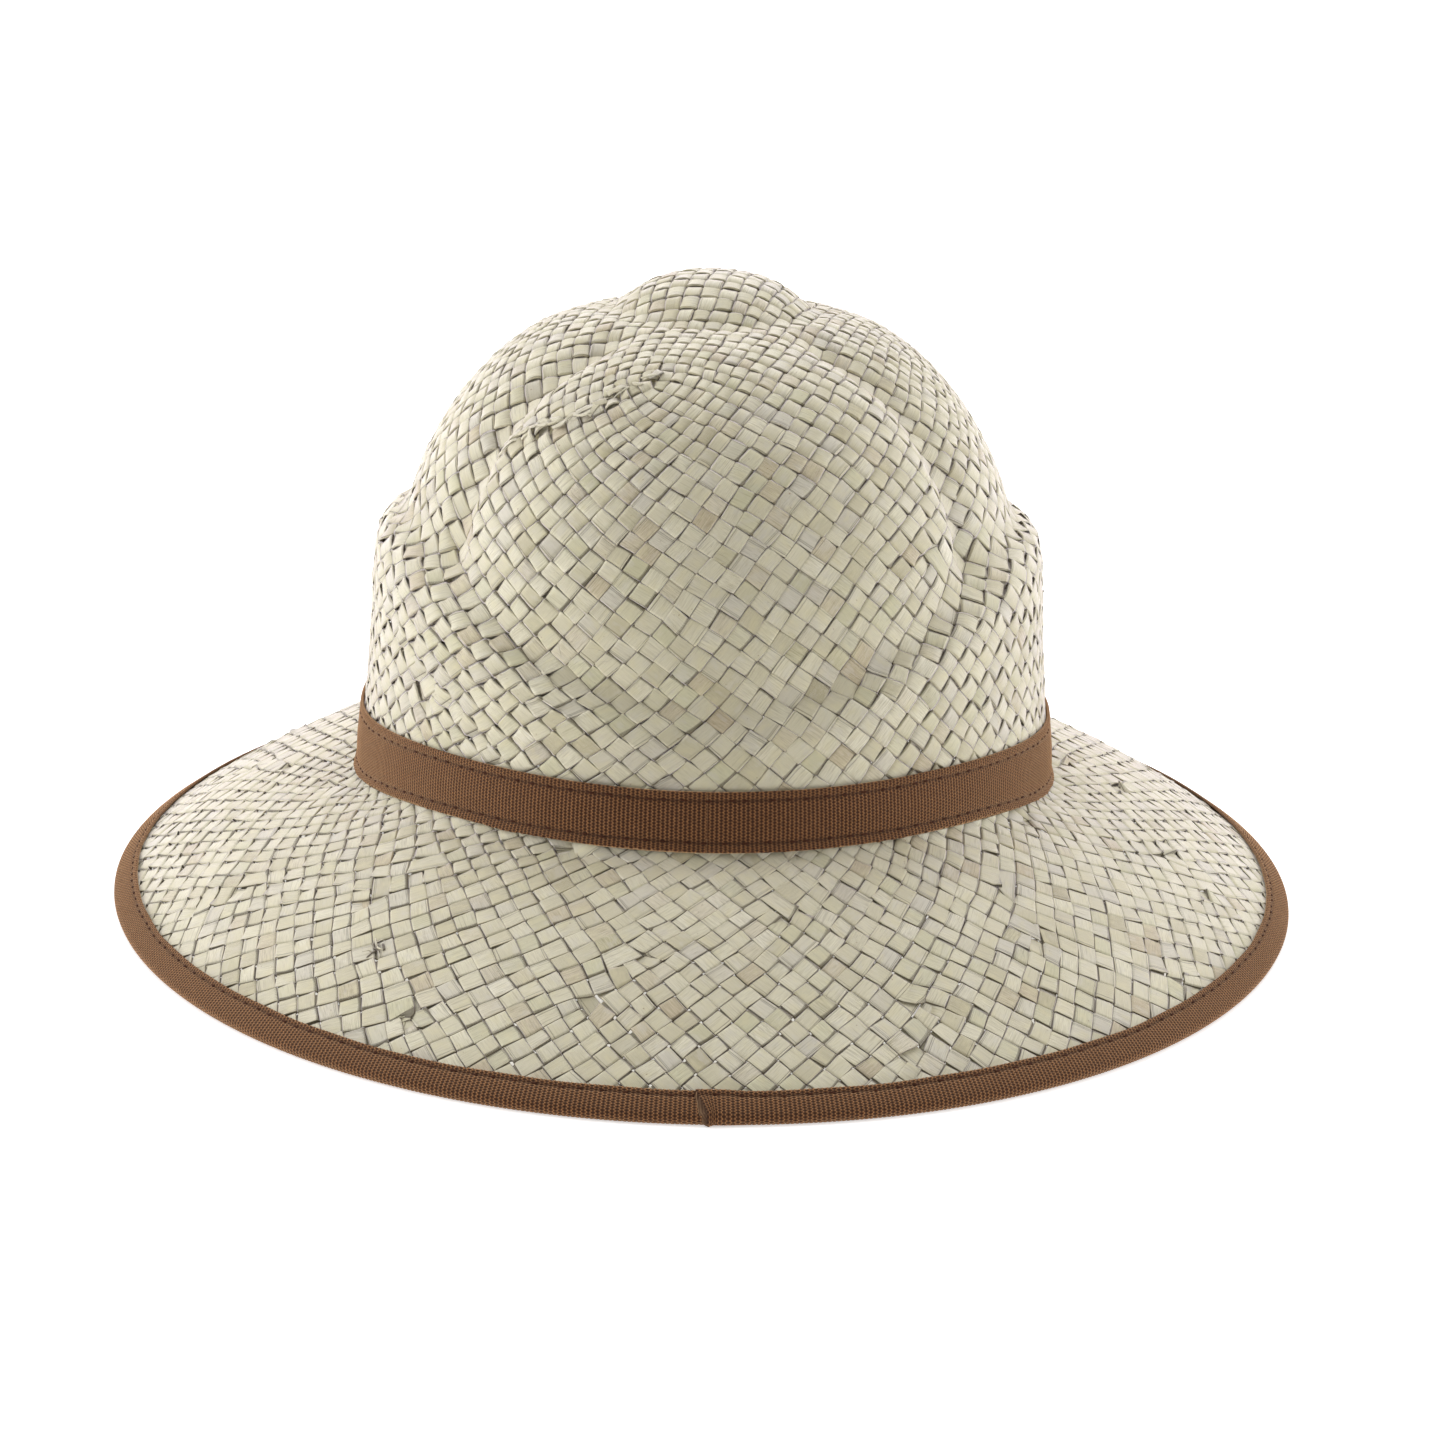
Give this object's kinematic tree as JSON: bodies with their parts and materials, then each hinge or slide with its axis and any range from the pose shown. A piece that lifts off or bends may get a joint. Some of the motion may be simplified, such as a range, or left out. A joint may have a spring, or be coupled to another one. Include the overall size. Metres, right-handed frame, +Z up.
{
  "type": "plaited straw pith helmet",
  "caption": "Sun hat in the pith-helmet shape, plaited from flat straw strips, with a lobed crown, a sloping brim, a grosgrain ribbon band and a ribbon-bound edge.",
  "frame": {"origin": "centre of the hat in plan, on the surface that the brim's edge rests on", "axes": "+Z up, front of the hat towards -Y, wearer's left and right along X, longest from front to back along Y"},
  "size_m": [0.2928, 0.3428, 0.1524],
  "materials": {
    "plaited_straw": "matte natural straw strips, plaited one over one under",
    "ribbon": "brown grosgrain ribbon, cross-ribbed, matte"
  },
  "bodies": {
    "root": {"straw_body": "plaited_straw", "hatband": "ribbon", "brim_binding": "ribbon"}
  },
  "joints": []
}
